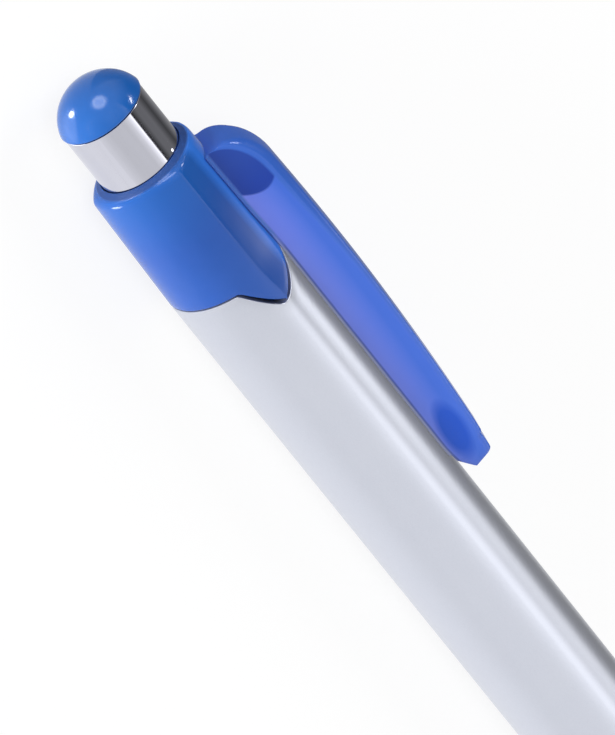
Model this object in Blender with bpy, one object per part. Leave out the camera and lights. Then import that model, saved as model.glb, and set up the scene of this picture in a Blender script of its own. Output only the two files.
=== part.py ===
"""Retractable ballpoint pen, in metres.

The pen lies on one barrel face with its axis along X and its writing tip towards +X.
The origin is on the barrel's lowest strip. Stations along the pen are counted from the
rim of the upper housing, positive towards the tip.
"""

import math

import bmesh
import bpy
from mathutils import Vector

# Clearances
SLIDE_GAP = 0.00011
SEAT_GAP = 0.00015
RUN_GAP = 0.0003
END_GAP = 0.0003
SEAM = 0.0001
BALL_GAP = 0.00005

# Push button
SLEEVE_RADIUS = 0.0035
SLEEVE_WALL = 0.00035
SLEEVE_SHOWN = 0.00514
SLEEVE_HIDDEN = 0.0039
BUTTON_TRAVEL = 0.005
DOME_OVERHANG = 0.0001
DOME_HEIGHT = 0.0029
DOME_SINK = 0.0007
DOME_PLUG = 0.002

# Soft three-sided section
HOUSING_WALL = 0.00094
RIDGE_RISE = 0.00053
RIDGE_RADIUS = 0.0018

# Upper housing
RIM_WIDTH = 0.0005
RIM_FALL = 0.00038
TOP_WALL = 0.00068
SHOULDER_LENGTH = 0.0011
SPIGOT_ROOT = 0.0008
ARCH_RISE = 0.00185
LOBE_DROP = 0.00315
LOBE_ANGLE = math.radians(58)
LOBE_SPREAD = math.radians(36)
LOBE_ROUNDING = math.radians(10)
SPIGOT_LENGTH = 0.003

# Barrel
BARREL_WALL = 0.0009
BARREL_LENGTH = 0.06815
BORE_STEP = 0.0004
NECK_WALL = 0.0009
NECK_FLOOR = 0.0012
NECK_BORE_GAP = 0.00065

# Grip and nose
GRIP_LENGTH = 0.037
GRIP_WALL = 0.0011
GRIP_GROOVES = 7
GROOVE_PITCH = 0.0036
GROOVE_WIDTH = 0.0016
GROOVE_DEPTH = 0.0003
NOSE_LENGTH = 0.017
NOSE_COLLAR = 0.0016
NOSE_END_WALL = 0.0005
NOSE_BOW = 1.25
THREAD_LENGTH = 0.005
TIP_BORE_LENGTH = 0.003

# Click mechanism
GUIDE_WALL = 0.00035
GUIDE_RIB_HEIGHT = 0.0005
GUIDE_RIB_LENGTH = 0.0102
GUIDE_RIB_SLANT = 0.0009
GUIDE_TAIL = 0.006
RIB_COUNT = 4
GUIDE_RIB_SHARE = 0.40
CAM_RIB_SHARE = 0.44
CAM_RIB_LENGTH = 0.0076
CAM_TOOTH = 0.0007
CAM_BORE_WALL = 0.001
PIN_LENGTH = 0.005
ROTOR_RIB_LENGTH = 0.0042
ROTOR_NECK = 0.002
SOCKET_DEPTH = 0.003
SOCKET_WALL = 0.0005

# Refill
REFILL_RADIUS = 0.00155
REFILL_WALL = 0.0005
INK_TAIL = 0.012
HOLDER_PLUG = 0.004
HOLDER_FLANGE = 0.001
HOLDER_LENGTH = 0.007
HOLDER_WALL = 0.0004
TIP_PLUG = 0.002
TIP_SHANK = 0.0022
TIP_CONE = 0.0033
TIP_RECESS = 0.0015
TIP_LIP = 0.0001
BALL_RADIUS = 0.0005
BALL_TRAP = 0.00018

# Return spring
SPRING_WIRE = 0.00036
SPRING_TURNS = 9

# Clip
CLIP_ANGLE = math.radians(30)
CLIP_START = 0.0022
CLIP_LENGTH = 0.0361
CLIP_HEIGHT = 0.00375
CLIP_CROWN = 0.016
CLIP_END_HEIGHT = 0.00283
CLIP_SHOULDER = 0.0044
CLIP_ROOT_HEIGHT = 0.0006
CLIP_ROOT_WIDTH = 0.0036
CLIP_END_WIDTH = 0.0032
CLIP_EDGE = 0.0006
CLIP_SIDE = 0.0006
CLIP_PILLAR = 0.0053
CLIP_ROOT_BAND = 0.0019
CLIP_BAND = 0.0008
CLIP_BAND_RUN = 0.0096
CLIP_BUMP = 0.007
CLIP_NOSE = 0.0015
CLIP_KNEE = 0.35
CLIP_OVER_BARREL = 0.00025

# Fineness of round shapes; an odd face count leaves a flat strip in the middle of each face
FACE_STEPS = 9
RIDGE_STEPS = 5
SHOULDER_STEPS = 3
SKIRT_STEPS = 2
ROUND_STEPS = 32
RIB_STEPS = 3
COIL_STEPS = 14
DOME_STEPS = 7
CLIP_STEPS = 7
BALL_STEPS = 14

# Sizes worked out from those above
SLEEVE_BORE = SLEEVE_RADIUS - SLEEVE_WALL
HOUSING_BORE = SLEEVE_RADIUS + SLIDE_GAP
FACE_DISTANCE = HOUSING_BORE + HOUSING_WALL
TOP_FACE = HOUSING_BORE + TOP_WALL
BARREL_BORE = FACE_DISTANCE - BARREL_WALL
GUIDE_OUTER = BARREL_BORE - SEAT_GAP
GUIDE_BORE = GUIDE_OUTER - GUIDE_WALL
GUIDE_RIB_BORE = GUIDE_BORE - GUIDE_RIB_HEIGHT
CAM_RIB_RADIUS = GUIDE_BORE - SEAT_GAP
CAM_SHAFT = GUIDE_RIB_BORE - RUN_GAP
CAM_BORE = CAM_SHAFT - CAM_BORE_WALL
SOCKET_BORE = REFILL_RADIUS + SEAT_GAP
HOLDER_RADIUS = REFILL_RADIUS - REFILL_WALL
TIP_BORE = HOLDER_RADIUS + SLIDE_GAP
NECK_BORE = REFILL_RADIUS + NECK_BORE_GAP
NECK_RADIUS = NECK_BORE + NECK_WALL
GRIP_BORE = NECK_RADIUS + SEAT_GAP
GRIP_FRONT = GRIP_BORE + GRIP_WALL
SPRING_RADIUS = HOLDER_RADIUS + SLIDE_GAP + SPRING_WIRE / 2
CHAMBER = max(SPRING_RADIUS + SPRING_WIRE / 2, REFILL_RADIUS) + RUN_GAP

# Stations along the pen, from the housing's rim
SLEEVE_TOP = -SLEEVE_SHOWN
SLEEVE_END = SLEEVE_HIDDEN
BORE_END = SLEEVE_END + BUTTON_TRAVEL + END_GAP
ARCH_TOP = BORE_END + SPIGOT_ROOT
EDGE = ARCH_TOP + ARCH_RISE
SPIGOT_END = EDGE + LOBE_DROP + SPIGOT_LENGTH
GUIDE_START = SPIGOT_END + END_GAP
GUIDE_RIB_END = GUIDE_START + GUIDE_RIB_LENGTH
GUIDE_END = GUIDE_RIB_END + GUIDE_RIB_SLANT + GUIDE_TAIL
CAM_RIB_START = GUIDE_START
CAM_END = CAM_RIB_START + CAM_RIB_LENGTH
ROTOR_START = CAM_END + END_GAP
ROTOR_RIB_END = ROTOR_START + CAM_TOOTH + ROTOR_RIB_LENGTH
SOCKET_FLOOR = ROTOR_RIB_END + ROTOR_NECK
ROTOR_END = SOCKET_FLOOR + SOCKET_DEPTH
TUBE_START = SOCKET_FLOOR + END_GAP
BARREL_END = EDGE + BARREL_LENGTH
GRIP_START = BARREL_END + SEAM
GRIP_END = GRIP_START + GRIP_LENGTH
NOSE_START = GRIP_END + SEAM
NOSE_END = NOSE_START + NOSE_LENGTH
NECK_END = NOSE_START + THREAD_LENGTH
BALL_CENTRE = NOSE_END - TIP_RECESS - BALL_RADIUS
TIP_CONE_START = BALL_CENTRE + BALL_TRAP - TIP_CONE
TIP_START = TIP_CONE_START - TIP_SHANK
HOLDER_START = TIP_START - SEAM - HOLDER_LENGTH
TUBE_END = HOLDER_START - SEAM
FLANGE_END = HOLDER_START + HOLDER_FLANGE
CHAMBER_END = NOSE_END - TIP_BORE_LENGTH
CLIP_END = CLIP_START + CLIP_LENGTH
ORIGIN = (NOSE_END - SLEEVE_SHOWN - DOME_HEIGHT) / 2


def face_arc(face, ridge):
    """Offset behind the axis, radius and half angle of the arc of one face of the soft triangle."""
    ridge_centre = ridge - RIDGE_RADIUS
    inset = face - RIDGE_RADIUS
    offset = (ridge_centre**2 - inset**2) / (2 * inset - ridge_centre)
    across = ridge_centre * math.sin(math.radians(60))
    half = math.atan2(across, offset + ridge_centre * math.cos(math.radians(60)))
    return offset, face + offset, half


def soft_triangle(face):
    """Outline of the three-sided section, with one face towards the clip."""
    ridge = face + RIDGE_RISE
    offset, radius, half = face_arc(face, ridge)
    points = []
    for side in range(3):
        normal = CLIP_ANGLE + side * math.radians(120)
        centre = Vector((math.cos(normal), math.sin(normal))) * -offset
        for step in range(FACE_STEPS + 1):
            angle = normal - half + 2 * half * step / FACE_STEPS
            points.append(centre + Vector((math.cos(angle), math.sin(angle))) * radius)
        towards = normal + math.radians(60)
        centre = Vector((math.cos(towards), math.sin(towards))) * (ridge - RIDGE_RADIUS)
        turn = math.radians(120) - 2 * half
        for step in range(1, RIDGE_STEPS):
            angle = normal + half + turn * step / RIDGE_STEPS
            points.append(centre + Vector((math.cos(angle), math.sin(angle))) * RIDGE_RADIUS)
    return points


def axis_height():
    """Height of the axis over the flat strip that the barrel lies on."""
    offset, radius, half = face_arc(FACE_DISTANCE, FACE_DISTANCE + RIDGE_RISE)
    return radius * math.cos(half / FACE_STEPS) - offset


SECTION_ANGLES = [math.atan2(p.y, p.x) for p in soft_triangle(FACE_DISTANCE)]


def round_over(angle):
    """Absolute angle with its corner at zero rounded."""
    return math.hypot(angle, LOBE_ROUNDING) - LOBE_ROUNDING


def edge_station(angle):
    """Station of the housing's lower edge: level, with a lobe each side of the arch under the clip."""
    turned_by = abs(math.remainder(angle - CLIP_ANGLE, math.tau))
    tip = EDGE + LOBE_DROP
    if turned_by > LOBE_ANGLE:
        fall = LOBE_DROP * round_over(turned_by - LOBE_ANGLE) / round_over(LOBE_SPREAD)
        return max(tip - fall, EDGE)
    share = turned_by / LOBE_ANGLE
    return ARCH_TOP + (tip - ARCH_TOP) * share**2 * (3 - 2 * share)


def housing_face(station):
    """Distance of the housing's faces from the axis."""
    share = min(max((station - SHOULDER_LENGTH) / (EDGE - SHOULDER_LENGTH), 0), 1)
    return TOP_FACE + (FACE_DISTANCE - TOP_FACE) * share


def at(station, y, z):
    return Vector((station - ORIGIN, y, z))


def circle(station, radius, angles=None):
    """Ring round the axis; the station may be a function of the angle."""
    if angles is None:
        angles = [math.tau * step / ROUND_STEPS for step in range(ROUND_STEPS)]
    place = station if callable(station) else lambda angle: station
    return [at(place(a), radius * math.cos(a), radius * math.sin(a)) for a in angles]


def triangle_ring(station, face):
    """Ring of the soft triangle; the station may be a function of the angle."""
    place = station if callable(station) else lambda angle: station
    points = soft_triangle(face)
    return [at(place(a), p.x, p.y) for a, p in zip(SECTION_ANGLES, points)]


def blend_rings(first, second, share):
    return [a.lerp(b, share) for a, b in zip(first, second)]


def rib_angles(share):
    """Angles of a ring with ribs, each side of a rib twice so that its wall is radial, with a rib flag."""
    pitch = math.tau / RIB_COUNT
    found = []
    for rib in range(RIB_COUNT):
        middle = CLIP_ANGLE + rib * pitch
        for is_rib, width, centre in ((True, share, 0), (False, 1 - share, 0.5)):
            for step in range(RIB_STEPS + 1):
                part = step / RIB_STEPS
                found.append((middle + pitch * (centre + width * (part - 0.5)), is_rib, part))
    return found


def ribbed(station, radius, rib_radius, share):
    """Ring whose radius changes at the ribs."""
    angles = rib_angles(share)
    radii = [rib_radius if is_rib else radius for _, is_rib, _ in angles]
    return [at(station, r * math.cos(a), r * math.sin(a)) for (a, _, _), r in zip(angles, radii)]


def toothed(ring):
    """Moves every second point of a ring along the pen by one tooth."""
    return [p + Vector((CAM_TOOTH * (index % 2), 0, 0)) for index, p in enumerate(ring)]


def finish(name, colour, roughness, metallic=0.0, alpha=1.0):
    material = bpy.data.materials.new(name)
    material.use_nodes = True
    shader = material.node_tree.nodes["Principled BSDF"]
    shader.inputs["Base Color"].default_value = (*colour, 1)
    shader.inputs["Roughness"].default_value = roughness
    shader.inputs["Metallic"].default_value = metallic
    shader.inputs["Alpha"].default_value = alpha
    return material


def add_object(name, bm, material, parent, location=(0, 0, 0)):
    """Closes a bmesh into a smooth-shaded object under its parent."""
    bmesh.ops.remove_doubles(bm, verts=bm.verts, dist=1e-8)
    bmesh.ops.recalc_face_normals(bm, faces=bm.faces)
    mesh = bpy.data.meshes.new(name)
    bm.to_mesh(mesh)
    bm.free()
    mesh.shade_smooth()
    mesh.set_sharp_from_angle(angle=math.radians(35))
    mesh.materials.append(material)
    thing = bpy.data.objects.new(name, mesh)
    thing.parent = parent
    thing.location = location
    bpy.context.collection.objects.link(thing)
    return thing


def lofted(rings, is_tube):
    """Skin over rings of equal count: joined end to start as a tube wall, or capped."""
    bm = bmesh.new()
    loops = [[bm.verts.new(p) for p in ring] for ring in rings]
    pairs = list(zip(loops, loops[1:]))
    if is_tube:
        pairs.append((loops[-1], loops[0]))
    else:
        bm.faces.new(loops[0])
        bm.faces.new(loops[-1])
    for first, second in pairs:
        for index in range(len(first)):
            following = (index + 1) % len(first)
            bm.faces.new((first[index], first[following], second[following], second[index]))
    return bm


def turned(profile, is_tube):
    """Profile of (station, radius) points spun round the axis."""
    bm = bmesh.new()
    verts = [bm.verts.new(at(station, 0, radius)) for station, radius in profile]
    ends = verts[1:] + verts[:1] if is_tube else verts[1:]
    edges = [bm.edges.new(pair) for pair in zip(verts, ends)]
    bmesh.ops.spin(
        bm, geom=verts + edges, cent=(0, 0, 0), axis=(1, 0, 0),
        angle=math.tau, steps=ROUND_STEPS, use_merge=True,
    )
    return bm


def button_dome(parent):
    """Dome on a plug; the dome's widest circle would lie a little below its base."""
    base = SLEEVE_TOP - SEAM
    plug = SLEEVE_BORE - SEAT_GAP
    tall = DOME_HEIGHT - SEAM + DOME_SINK
    first = math.asin(DOME_SINK / tall)
    wide = (SLEEVE_RADIUS + DOME_OVERHANG) / math.cos(first)
    profile = [(base + DOME_PLUG, 0), (base + DOME_PLUG, plug), (base, plug)]
    for step in range(DOME_STEPS + 1):
        angle = first + (math.pi / 2 - first) * step / DOME_STEPS
        profile.append((base + DOME_SINK - tall * math.sin(angle), wide * math.cos(angle)))
    blue = finish("dome_blue", (0.045, 0.16, 0.60), 0.18)
    add_object("button_dome", turned(profile, False), blue, parent)


def button_sleeve(parent):
    profile = [
        (SLEEVE_TOP, SLEEVE_BORE), (SLEEVE_TOP, SLEEVE_RADIUS),
        (SLEEVE_END, SLEEVE_RADIUS), (SLEEVE_END, SLEEVE_BORE),
    ]
    chrome = finish("sleeve_chrome", (0.80, 0.80, 0.81), 0.06, 1.0)
    add_object("button_sleeve", turned(profile, True), chrome, parent)


def thrust_cam(parent):
    plug = SLEEVE_BORE - SEAT_GAP
    plug_top = SLEEVE_TOP + DOME_PLUG + END_GAP
    bore_top = CAM_END - PIN_LENGTH - END_GAP
    share = CAM_RIB_SHARE
    rings = [
        ribbed(plug_top, plug, plug, share),
        ribbed(SLEEVE_END, plug, plug, share),
        ribbed(SLEEVE_END, CAM_SHAFT, CAM_SHAFT, share),
        ribbed(CAM_RIB_START, CAM_SHAFT, CAM_SHAFT, share),
        ribbed(CAM_RIB_START, CAM_SHAFT, CAM_RIB_RADIUS, share),
        toothed(ribbed(CAM_END, CAM_SHAFT, CAM_RIB_RADIUS, share)),
        toothed(ribbed(CAM_END, CAM_BORE, CAM_BORE, share)),
        ribbed(bore_top, CAM_BORE, CAM_BORE, share),
    ]
    white = finish("cam_white", (0.82, 0.83, 0.84), 0.4)
    add_object("thrust_cam", lofted(rings, False), white, parent)


def rotor_cam(parent):
    pin = CAM_BORE - RUN_GAP
    neck = SOCKET_BORE + SOCKET_WALL
    share = CAM_RIB_SHARE
    rings = [
        ribbed(CAM_END - PIN_LENGTH, pin, pin, share),
        toothed(ribbed(ROTOR_START, pin, pin, share)),
        toothed(ribbed(ROTOR_START, CAM_SHAFT, CAM_RIB_RADIUS, share)),
        ribbed(ROTOR_RIB_END, CAM_SHAFT, CAM_RIB_RADIUS, share),
        ribbed(ROTOR_RIB_END, neck, neck, share),
        ribbed(ROTOR_END, neck, neck, share),
        ribbed(ROTOR_END, SOCKET_BORE, SOCKET_BORE, share),
        ribbed(SOCKET_FLOOR, SOCKET_BORE, SOCKET_BORE, share),
    ]
    grey = finish("rotor_grey", (0.55, 0.57, 0.60), 0.4)
    add_object("rotor_cam", lofted(rings, False), grey, parent)


def cam_guide(parent):
    share = GUIDE_RIB_SHARE
    turn = math.pi / RIB_COUNT

    def turned_ring(station, radius, rib_radius, slant=0.0):
        """Ring with its ribs in the gaps between the cams' ribs, and slanted rib ends."""
        ring = ribbed(station, radius, rib_radius, share)
        placed = []
        for point, (_, is_rib, part) in zip(ring, rib_angles(share)):
            along = point.x + (slant * part if is_rib else 0)
            y = point.y * math.cos(turn) - point.z * math.sin(turn)
            z = point.y * math.sin(turn) + point.z * math.cos(turn)
            placed.append(Vector((along, y, z)))
        return placed

    rings = [
        turned_ring(GUIDE_START, GUIDE_OUTER, GUIDE_OUTER),
        turned_ring(GUIDE_END, GUIDE_OUTER, GUIDE_OUTER),
        turned_ring(GUIDE_END, GUIDE_BORE, GUIDE_BORE),
        turned_ring(GUIDE_RIB_END, GUIDE_BORE, GUIDE_BORE, GUIDE_RIB_SLANT),
        turned_ring(GUIDE_RIB_END, GUIDE_BORE, GUIDE_RIB_BORE, GUIDE_RIB_SLANT),
        turned_ring(GUIDE_START, GUIDE_BORE, GUIDE_RIB_BORE),
    ]
    white = finish("guide_white", (0.78, 0.79, 0.80), 0.45)
    add_object("cam_guide", lofted(rings, True), white, parent)


def upper_housing(parent):
    def part_way(share):
        return lambda angle: SHOULDER_LENGTH + (edge_station(angle) - SHOULDER_LENGTH) * share

    shoulder = triangle_ring(SHOULDER_LENGTH, TOP_FACE)
    rim = circle(RIM_FALL, HOUSING_BORE + RIM_WIDTH, SECTION_ANGLES)
    rings = [rim]
    for step in range(1, SHOULDER_STEPS):
        angle = math.pi / 2 * step / SHOULDER_STEPS
        ring = blend_rings(rim, shoulder, math.sin(angle))
        along = RIM_FALL + (SHOULDER_LENGTH - RIM_FALL) * (1 - math.cos(angle)) - ORIGIN
        rings.append([Vector((along, point.y, point.z)) for point in ring])
    rings.append(shoulder)
    for step in range(1, SKIRT_STEPS + 1):
        share = step / SKIRT_STEPS
        rings.append(triangle_ring(part_way(share), TOP_FACE + (FACE_DISTANCE - TOP_FACE) * share))
    rings += [
        circle(edge_station, BARREL_BORE - SEAT_GAP, SECTION_ANGLES),
        circle(SPIGOT_END, BARREL_BORE - SEAT_GAP, SECTION_ANGLES),
        circle(SPIGOT_END, GUIDE_RIB_BORE, SECTION_ANGLES),
        circle(BORE_END, GUIDE_RIB_BORE, SECTION_ANGLES),
        circle(BORE_END, HOUSING_BORE, SECTION_ANGLES),
        circle(0, HOUSING_BORE, SECTION_ANGLES),
    ]
    blue = finish("housing_blue", (0.035, 0.13, 0.52), 0.15)
    add_object("upper_housing", lofted(rings, True), blue, parent)


def barrel(parent):
    guide_stop = GUIDE_END + END_GAP
    neck_floor = BARREL_END - NECK_FLOOR
    rings = [
        triangle_ring(lambda angle: edge_station(angle) + SEAM, FACE_DISTANCE),
        circle(lambda angle: edge_station(angle) + SEAM, BARREL_BORE, SECTION_ANGLES),
        circle(guide_stop, BARREL_BORE, SECTION_ANGLES),
        circle(guide_stop, BARREL_BORE - BORE_STEP, SECTION_ANGLES),
        circle(neck_floor, BARREL_BORE - BORE_STEP, SECTION_ANGLES),
        circle(neck_floor, NECK_BORE, SECTION_ANGLES),
        circle(NECK_END, NECK_BORE, SECTION_ANGLES),
        circle(NECK_END, NECK_RADIUS, SECTION_ANGLES),
        circle(BARREL_END, NECK_RADIUS, SECTION_ANGLES),
        triangle_ring(BARREL_END, FACE_DISTANCE),
    ]
    silver = finish("barrel_silver", (0.62, 0.64, 0.68), 0.32, 0.55)
    add_object("barrel", lofted(rings, True), silver, parent)


def grip_sleeve(parent):
    length = GRIP_END - GRIP_START
    groove_run = GROOVE_PITCH * (GRIP_GROOVES - 1) + GROOVE_WIDTH
    first_groove = (length - groove_run) / 2

    def skin(station, sunk):
        share = (station - GRIP_START) / length
        rear = triangle_ring(station, FACE_DISTANCE - sunk)
        front = circle(station, GRIP_FRONT - sunk, SECTION_ANGLES)
        return blend_rings(rear, front, share)

    rings = [skin(GRIP_START, 0)]
    for groove in range(GRIP_GROOVES):
        start = GRIP_START + first_groove + GROOVE_PITCH * groove
        rings.append(skin(start, 0))
        rings.append(skin(start + GROOVE_WIDTH / 3, GROOVE_DEPTH))
        rings.append(skin(start + GROOVE_WIDTH * 2 / 3, GROOVE_DEPTH))
        rings.append(skin(start + GROOVE_WIDTH, 0))
    rings.append(skin(GRIP_END, 0))
    rings.append(circle(GRIP_END, GRIP_BORE, SECTION_ANGLES))
    rings.append(circle(GRIP_START, GRIP_BORE, SECTION_ANGLES))
    rubber = finish("grip_rubber", (0.03, 0.09, 0.36), 0.65)
    add_object("grip_sleeve", lofted(rings, True), rubber, parent)


def nose_cone(parent):
    thread_end = NECK_END + END_GAP
    profile = [
        (NOSE_START, GRIP_BORE), (NOSE_START, GRIP_FRONT), (NOSE_START + NOSE_COLLAR, GRIP_FRONT),
    ]
    cone_length = NOSE_LENGTH - NOSE_COLLAR
    end_radius = TIP_BORE + NOSE_END_WALL
    for step in range(1, DOME_STEPS + 1):
        share = step / DOME_STEPS
        radius = GRIP_FRONT + (end_radius - GRIP_FRONT) * share**NOSE_BOW
        profile.append((NOSE_START + NOSE_COLLAR + cone_length * share, radius))
    profile += [
        (NOSE_END, TIP_BORE), (CHAMBER_END, TIP_BORE), (CHAMBER_END, CHAMBER),
        (thread_end, CHAMBER), (thread_end, GRIP_BORE),
    ]
    bright = finish("nose_chrome", (0.78, 0.78, 0.80), 0.1, 1.0)
    add_object("nose_cone", turned(profile, True), bright, parent)


def refill_tube(parent):
    bore = REFILL_RADIUS - REFILL_WALL
    profile = [
        (TUBE_START, bore), (TUBE_START, REFILL_RADIUS), (TUBE_END, REFILL_RADIUS), (TUBE_END, bore),
    ]
    clear = finish("tube_clear", (0.75, 0.79, 0.84), 0.25, 0.0, 0.5)
    add_object("refill_tube", turned(profile, True), clear, parent)


def ink_column(parent):
    radius = REFILL_RADIUS - REFILL_WALL - SEAT_GAP
    start = TUBE_START + INK_TAIL
    end = TUBE_END - HOLDER_PLUG - END_GAP
    profile = [(start, 0), (start, radius), (end, radius), (end, 0)]
    ink = finish("ink_blue", (0.01, 0.02, 0.20), 0.3)
    add_object("ink_column", turned(profile, False), ink, parent)


def tip_holder(parent):
    plug = REFILL_RADIUS - REFILL_WALL - SEAT_GAP
    channel = HOLDER_RADIUS - HOLDER_WALL
    front = HOLDER_START + HOLDER_LENGTH
    profile = [
        (TUBE_END - HOLDER_PLUG, channel), (TUBE_END - HOLDER_PLUG, plug), (HOLDER_START, plug),
        (HOLDER_START, REFILL_RADIUS), (FLANGE_END, REFILL_RADIUS), (FLANGE_END, HOLDER_RADIUS),
        (front, HOLDER_RADIUS), (front, channel),
    ]
    brass = finish("holder_brass", (0.72, 0.55, 0.25), 0.25, 1.0)
    add_object("tip_holder", turned(profile, True), brass, parent)


def tip_cone(parent):
    plug = HOLDER_RADIUS - HOLDER_WALL - SEAM
    pocket = BALL_RADIUS + BALL_GAP
    lip = math.sqrt(pocket**2 - BALL_TRAP**2)
    floor = BALL_CENTRE - pocket
    lip_station = BALL_CENTRE + BALL_TRAP
    profile = [
        (TIP_START - TIP_PLUG, 0), (TIP_START - TIP_PLUG, plug), (TIP_START, plug),
        (TIP_START, HOLDER_RADIUS), (TIP_CONE_START, HOLDER_RADIUS),
        (lip_station, lip + TIP_LIP), (lip_station, lip),
        (BALL_CENTRE, pocket), (floor, pocket), (floor, 0),
    ]
    nickel = finish("tip_nickel", (0.70, 0.69, 0.66), 0.2, 1.0)
    add_object("tip_cone", turned(profile, False), nickel, parent)


def writing_ball(parent):
    bm = bmesh.new()
    bmesh.ops.create_uvsphere(bm, u_segments=BALL_STEPS, v_segments=BALL_STEPS, radius=BALL_RADIUS)
    steel = finish("ball_carbide", (0.45, 0.45, 0.47), 0.15, 1.0)
    add_object("writing_ball", bm, steel, parent, at(BALL_CENTRE, 0, 0))


def return_spring(parent):
    """Coil with a closed turn at each end, between the refill's flange and the nose's shoulder."""
    curve = bpy.data.curves.new("return_spring", "CURVE")
    curve.dimensions = "3D"
    curve.bevel_depth = SPRING_WIRE / 2
    curve.bevel_resolution = 1
    curve.use_fill_caps = True
    start = FLANGE_END + SEAM + SPRING_WIRE / 2
    end = CHAMBER_END - SEAM - SPRING_WIRE / 2
    closed_rise = SPRING_WIRE + SEAM
    open_rise = (end - start - 2 * closed_rise) / (SPRING_TURNS - 2)
    count = SPRING_TURNS * COIL_STEPS
    spline = curve.splines.new("POLY")
    spline.points.add(count)
    for step in range(count + 1):
        turns = step / COIL_STEPS
        last = max(turns - (SPRING_TURNS - 1), 0)
        middle = min(max(turns - 1, 0), SPRING_TURNS - 2)
        along = start + closed_rise * (min(turns, 1) + last) + open_rise * middle
        angle = math.tau * turns
        point = at(along, SPRING_RADIUS * math.cos(angle), SPRING_RADIUS * math.sin(angle))
        spline.points[step].co = (*point, 1)
    curve.materials.append(finish("spring_steel", (0.62, 0.62, 0.63), 0.25, 1.0))
    thing = bpy.data.objects.new("return_spring", curve)
    thing.parent = parent
    bpy.context.collection.objects.link(thing)


def clip_arch(station):
    """Height of the clip's long shallow arch over the barrel face."""
    run = station - CLIP_CROWN
    reach = CLIP_END - CLIP_CROWN
    return CLIP_HEIGHT - (CLIP_HEIGHT - CLIP_END_HEIGHT) * (run / reach) ** 2


def clip_top(station):
    """Height of the clip's back over the barrel face: a rounded shoulder, then the arch."""
    past = station - CLIP_START
    if past > CLIP_SHOULDER:
        return clip_arch(station)
    lean = 1 - past / CLIP_SHOULDER
    rise = math.sqrt(max(1 - lean**2, 0))
    return CLIP_ROOT_HEIGHT + (clip_arch(CLIP_START + CLIP_SHOULDER) - CLIP_ROOT_HEIGHT) * rise


def clip_width(station):
    share = (station - CLIP_START) / CLIP_LENGTH
    return CLIP_ROOT_WIDTH + (CLIP_END_WIDTH - CLIP_ROOT_WIDTH) * share


def clip_foot(station):
    """Distance of the clip's sole from the axis, and how far its sides reach down over the housing."""
    if station > EDGE:
        return FACE_DISTANCE + CLIP_OVER_BARREL, 0
    face = housing_face(station)
    offset, radius, half = face_arc(face, face + RIDGE_RISE)
    return face + SEAM, radius - math.sqrt(radius**2 - (clip_width(station) / 2) ** 2)


def clip_ring(station, half_width, low, high, edge, reach=0.0, along=0.0):
    """Section of the clip with its back corners taken off.

    The sides reach below the sole, and along pushes the knee low on them on.
    """
    knee = low + (high - low) * CLIP_KNEE
    left = [
        (half_width, low - reach, 0), (half_width, knee, along),
        (half_width, high - edge, along / 2), (half_width - edge, high, 0),
    ]
    ring = [Vector((station + shift, -across, height)) for across, height, shift in left]
    return [Vector((station, 0, low))] + ring + [Vector((p.x, -p.y, p.z)) for p in reversed(ring)]


def clip(parent):
    """Channel-section clip on its flex axis, solid at its root and at the bump near its end."""
    foot = housing_face(CLIP_START) + SEAM
    holder = bpy.data.objects.new("clip_flex", None)
    holder.parent = parent
    towards = Vector((math.cos(CLIP_ANGLE), math.sin(CLIP_ANGLE)))
    holder.location = at(CLIP_START, *(towards * foot))
    holder.rotation_euler = (CLIP_ANGLE - math.pi / 2, 0, 0)
    bpy.context.collection.objects.link(holder)

    stations = [
        CLIP_START + CLIP_SHOULDER * (1 - math.cos(math.pi / 2 * step / CLIP_STEPS))
        for step in range(CLIP_STEPS + 1)
    ]
    run = CLIP_END - CLIP_NOSE - stations[-1]
    stations += [stations[CLIP_STEPS] + run * (step + 1) / CLIP_STEPS for step in range(CLIP_STEPS)]
    rings = []
    for station in stations:
        low, reach = clip_foot(station)
        high = FACE_DISTANCE + clip_top(station)
        edge = min(CLIP_EDGE, CLIP_ROOT_HEIGHT / 2)
        half = clip_width(station) / 2
        rings.append(clip_ring(station - CLIP_START, half, low - foot, high - foot, edge, reach))
    end_low = low + CLIP_NOSE / 3 - foot
    end_high = FACE_DISTANCE + clip_top(CLIP_END) - foot
    end_half = clip_width(CLIP_END) / 2 - CLIP_EDGE / 2
    rings.append(
        clip_ring(
            CLIP_LENGTH - CLIP_NOSE / 2, end_half, end_low, end_high, CLIP_EDGE, along=CLIP_NOSE / 2
        )
    )
    blue = finish("clip_blue", (0.06, 0.16, 0.66), 0.12, 0.0, 0.75)
    body = add_object("clip", lofted(rings, False), blue, holder)

    hollow_start = CLIP_START + CLIP_PILLAR
    hollow_end = CLIP_END - CLIP_BUMP
    below = -HOUSING_WALL
    hollow_rings = []
    for step in range(CLIP_STEPS + 1):
        station = hollow_start + (hollow_end - hollow_start) * step / CLIP_STEPS
        thinned = min((station - hollow_start) / CLIP_BAND_RUN, 1)
        band = CLIP_ROOT_BAND + (CLIP_BAND - CLIP_ROOT_BAND) * thinned
        high = FACE_DISTANCE + clip_top(station) - band - foot
        half = clip_width(station) / 2 - CLIP_SIDE
        hollow_rings.append(clip_ring(station - CLIP_START, half, below, high, CLIP_EDGE / 2))
    cutter = add_object("clip_hollow", lofted(hollow_rings, False), blue, holder)
    cutter.hide_render = True
    cutter.display_type = "WIRE"
    cut = body.modifiers.new("hollow", "BOOLEAN")
    cut.operation = "DIFFERENCE"
    cut.object = cutter


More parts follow.
